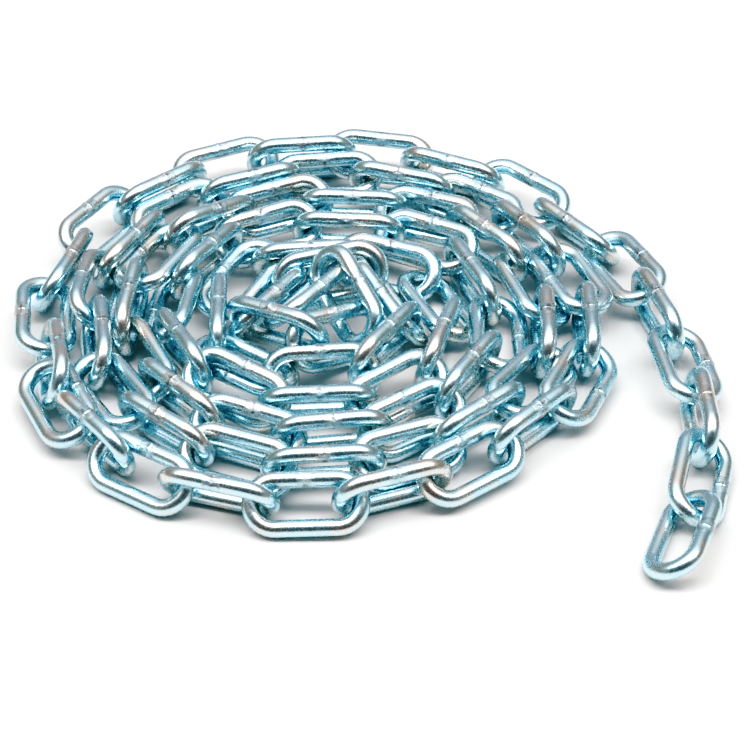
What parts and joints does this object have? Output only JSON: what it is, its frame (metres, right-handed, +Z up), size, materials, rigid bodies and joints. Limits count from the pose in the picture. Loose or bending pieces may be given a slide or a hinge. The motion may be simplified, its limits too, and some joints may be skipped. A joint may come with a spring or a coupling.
{
  "type": "steel chain heap",
  "caption": "Length of zinc-plated welded steel link chain laid in a flat, untidy coil with its free end trailing off to one side.",
  "frame": {"origin": "middle of the bottom of the bounding box, on the ground", "axes": "+Z up, +X towards the side where the free end trails off, -Y towards the free end, which is the front of the picture"},
  "size_m": [0.2948, 0.2926, 0.037],
  "materials": {
    "zinc_plated_steel": "bright zinc plating, smooth and faintly blue, with a small weld mark on one side of each link"
  },
  "bodies": {
    "root": {"inner_run_1": "zinc_plated_steel", "inner_run_2": "zinc_plated_steel", "inner_run_3": "zinc_plated_steel", "link_01": "zinc_plated_steel", "link_02": "zinc_plated_steel", "link_03": "zinc_plated_steel", "link_04": "zinc_plated_steel", "link_05": "zinc_plated_steel", "link_06": "zinc_plated_steel", "link_07": "zinc_plated_steel", "link_08": "zinc_plated_steel", "link_09": "zinc_plated_steel", "link_10": "zinc_plated_steel", "link_11": "zinc_plated_steel", "link_12": "zinc_plated_steel", "link_13": "zinc_plated_steel", "link_14": "zinc_plated_steel", "link_15": "zinc_plated_steel", "link_16": "zinc_plated_steel", "link_17": "zinc_plated_steel", "link_18": "zinc_plated_steel", "link_19": "zinc_plated_steel", "link_20": "zinc_plated_steel", "link_21": "zinc_plated_steel", "link_22": "zinc_plated_steel", "link_23": "zinc_plated_steel", "link_24": "zinc_plated_steel", "link_25": "zinc_plated_steel", "link_26": "zinc_plated_steel", "link_27": "zinc_plated_steel", "link_28": "zinc_plated_steel", "link_29": "zinc_plated_steel", "link_30": "zinc_plated_steel", "link_31": "zinc_plated_steel", "link_32": "zinc_plated_steel", "link_33": "zinc_plated_steel", "link_34": "zinc_plated_steel", "link_35": "zinc_plated_steel", "link_36": "zinc_plated_steel", "link_37": "zinc_plated_steel", "link_38": "zinc_plated_steel", "link_39": "zinc_plated_steel", "link_40": "zinc_plated_steel", "link_41": "zinc_plated_steel", "link_42": "zinc_plated_steel", "link_43": "zinc_plated_steel", "link_44": "zinc_plated_steel", "link_45": "zinc_plated_steel", "link_46": "zinc_plated_steel", "link_47": "zinc_plated_steel", "link_48": "zinc_plated_steel", "link_49": "zinc_plated_steel", "link_50": "zinc_plated_steel", "link_51": "zinc_plated_steel", "link_52": "zinc_plated_steel", "link_53": "zinc_plated_steel", "link_54": "zinc_plated_steel", "link_55": "zinc_plated_steel", "link_56": "zinc_plated_steel", "link_57": "zinc_plated_steel"}
  },
  "joints": []
}
